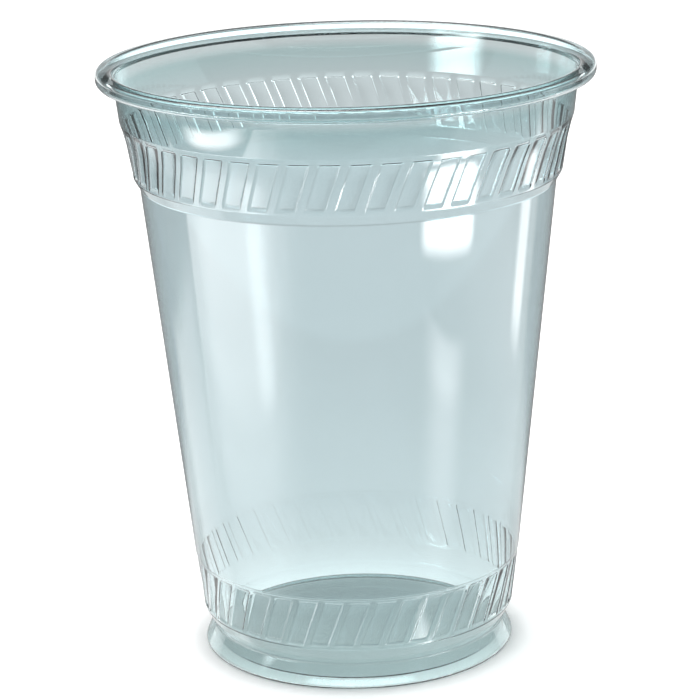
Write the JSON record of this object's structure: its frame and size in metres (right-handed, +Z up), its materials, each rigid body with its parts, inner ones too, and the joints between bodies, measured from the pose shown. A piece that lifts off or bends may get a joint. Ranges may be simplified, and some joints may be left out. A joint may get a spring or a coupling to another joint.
{
  "type": "plastic disposable cup",
  "caption": "Clear thin-walled cold drink cup: tapered wall, rolled rim over a smooth collar and stacking ledge, slanted-rib bands at top and base, raised floor.",
  "frame": {"origin": "centre of the foot ring, on the table", "axes": "+Z up along the cup's axis, towards its mouth; -Y towards the viewer of the picture"},
  "size_m": [0.098, 0.098, 0.1195],
  "materials": {
    "clear_sheet": "clear, glossy thermoformed sheet"
  },
  "bodies": {
    "root": {"cup": "clear_sheet"}
  },
  "joints": []
}
